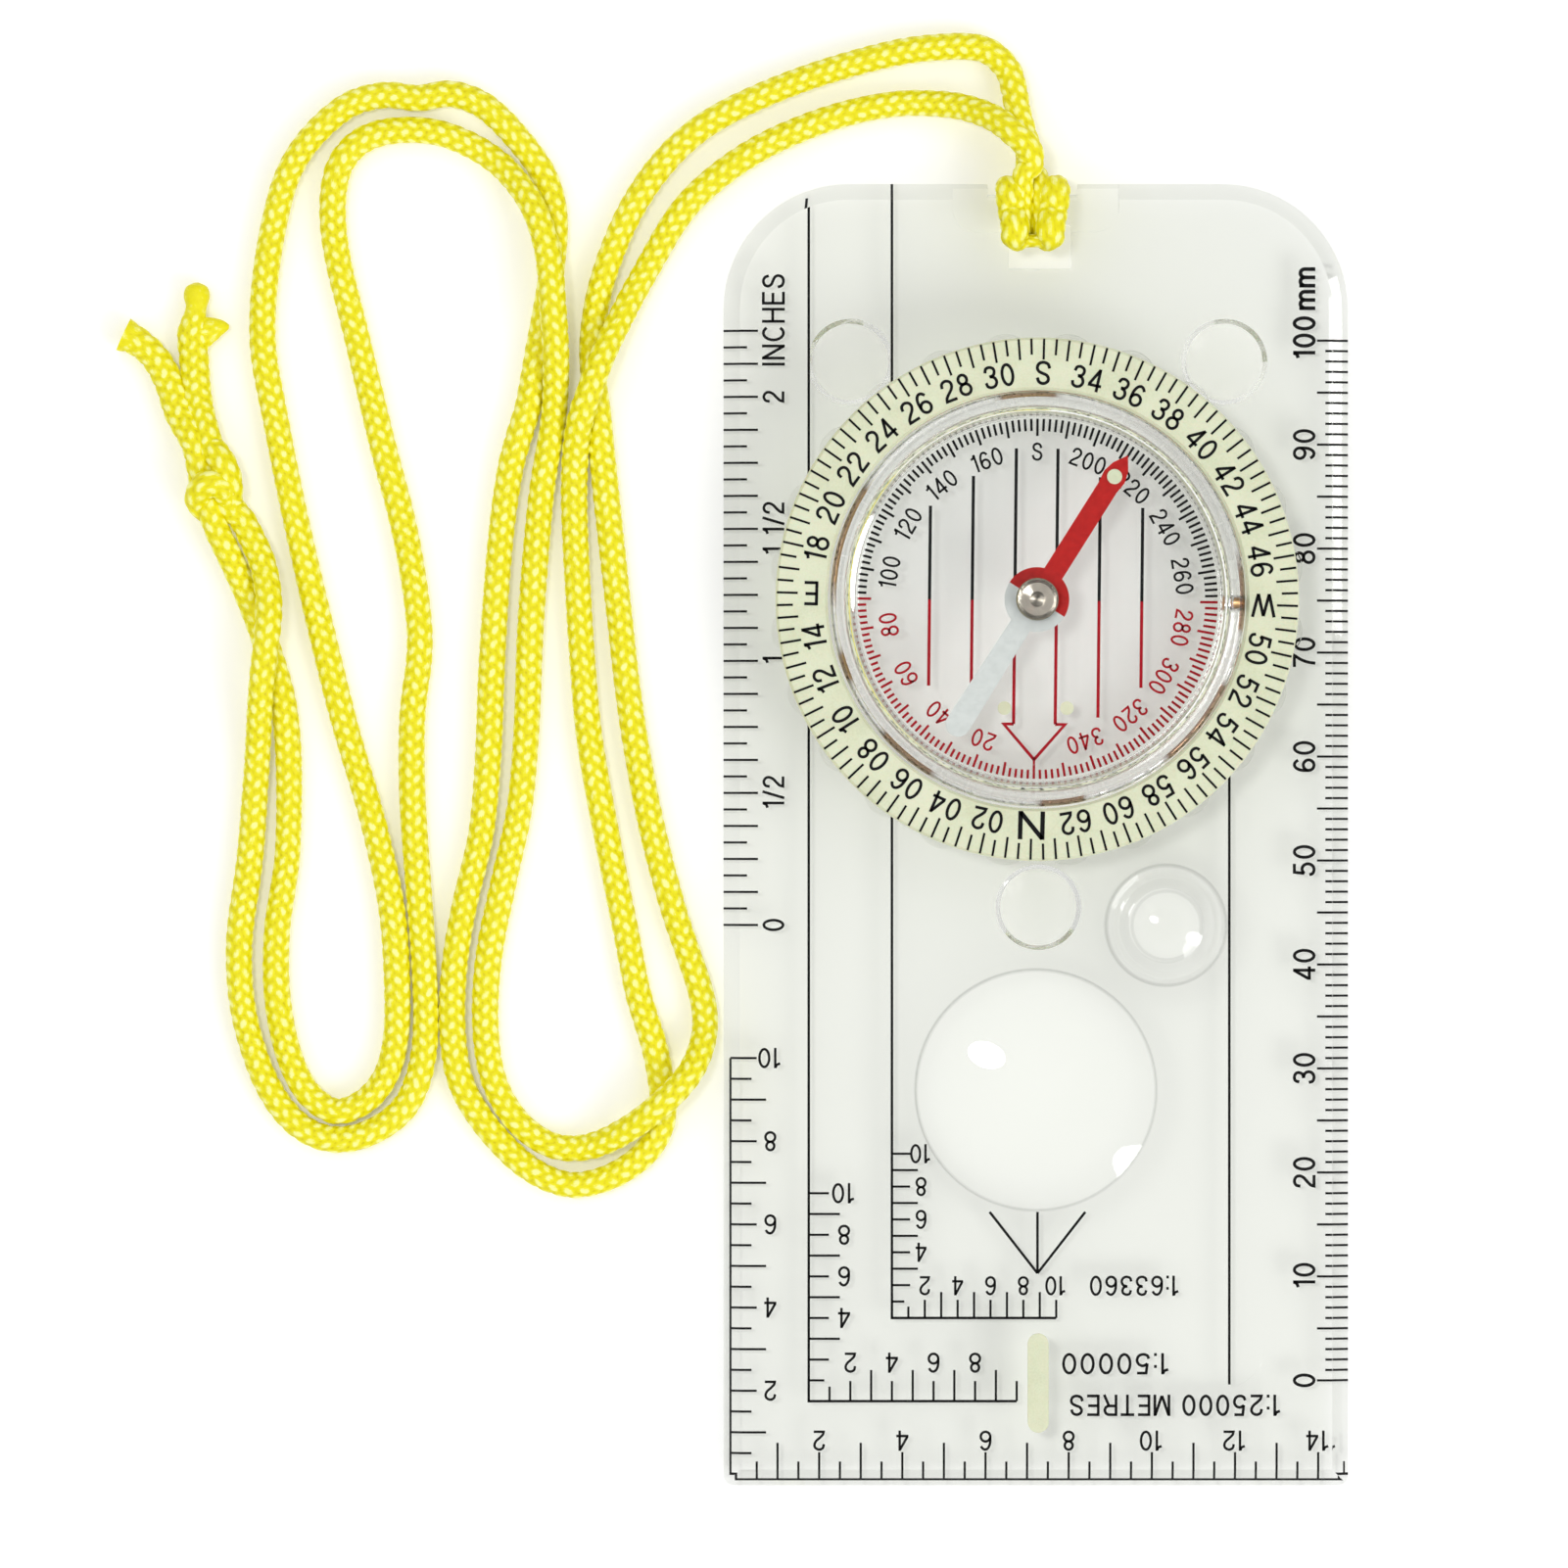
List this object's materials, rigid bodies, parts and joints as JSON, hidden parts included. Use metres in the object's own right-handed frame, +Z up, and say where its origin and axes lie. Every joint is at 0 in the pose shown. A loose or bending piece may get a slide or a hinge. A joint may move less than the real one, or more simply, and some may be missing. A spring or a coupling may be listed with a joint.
{
  "type": "baseplate compass",
  "caption": "Clear baseplate compass with a turning liquid capsule, swinging magnetic needle, magnifier, map scales and a neck lanyard laid beside it.",
  "frame": {"origin": "under the needle pivot, on the surface that the feet rest on", "axes": "+X towards the millimetre edge, +Y towards the lanyard bar, +Z up from the resting surface"},
  "size_m": [0.1184, 0.1397, 0.0116],
  "materials": {
    "clear_acrylic": "polished clear",
    "clear_rubber": "clear satin",
    "luminous_plastic": "satin phosphorescent",
    "bronze_wire": "drawn",
    "brass_plug": "turned",
    "pin_steel": "polished",
    "needle_paint": "gloss enamel",
    "nickel": "bright nickel plate",
    "stone": "polished",
    "cord_yellow": "braided polyester"
  },
  "bodies": {
    "plate": {"baseplate": "clear_acrylic", "rubber_feet": "clear_rubber", "luminous_index_bar": "luminous_plastic", "retaining_ring": "bronze_wire", "lanyard_hitch": "cord_yellow"},
    "bezel": {"bezel_grip_ring": "clear_acrylic", "luminous_dial_ring": "luminous_plastic", "capsule_cup": "clear_acrylic", "capsule_cover": "clear_acrylic", "fill_plug": "brass_plug", "pivot_pin": "pin_steel", "capsule_lume_dots": "luminous_plastic"},
    "needle": {"magnetic_needle": "needle_paint", "needle_lume_dot": "luminous_plastic", "needle_cap": "nickel", "pivot_jewel": "stone"},
    "lanyard": {"lanyard_cord": "cord_yellow", "lanyard_knot": "cord_yellow", "lanyard_ends": "cord_yellow"}
  },
  "joints": [
    {"name": "bezel_turn", "type": "hinge", "parent": "plate", "child": "bezel", "pos_m": [0, 0, 0.006], "axis": [0, 0, 1], "continuous": true},
    {"name": "needle_swing", "type": "hinge", "parent": "bezel", "child": "needle", "pos_m": [0, 0, 0.0075], "axis": [0, 0, 1], "continuous": true},
    {"name": "lanyard_swing", "type": "hinge", "parent": "plate", "child": "lanyard", "pos_m": [-0.0007, 0.0432, 0.003], "axis": [0, 0, 1], "range_deg": [-90, 0]}
  ]
}
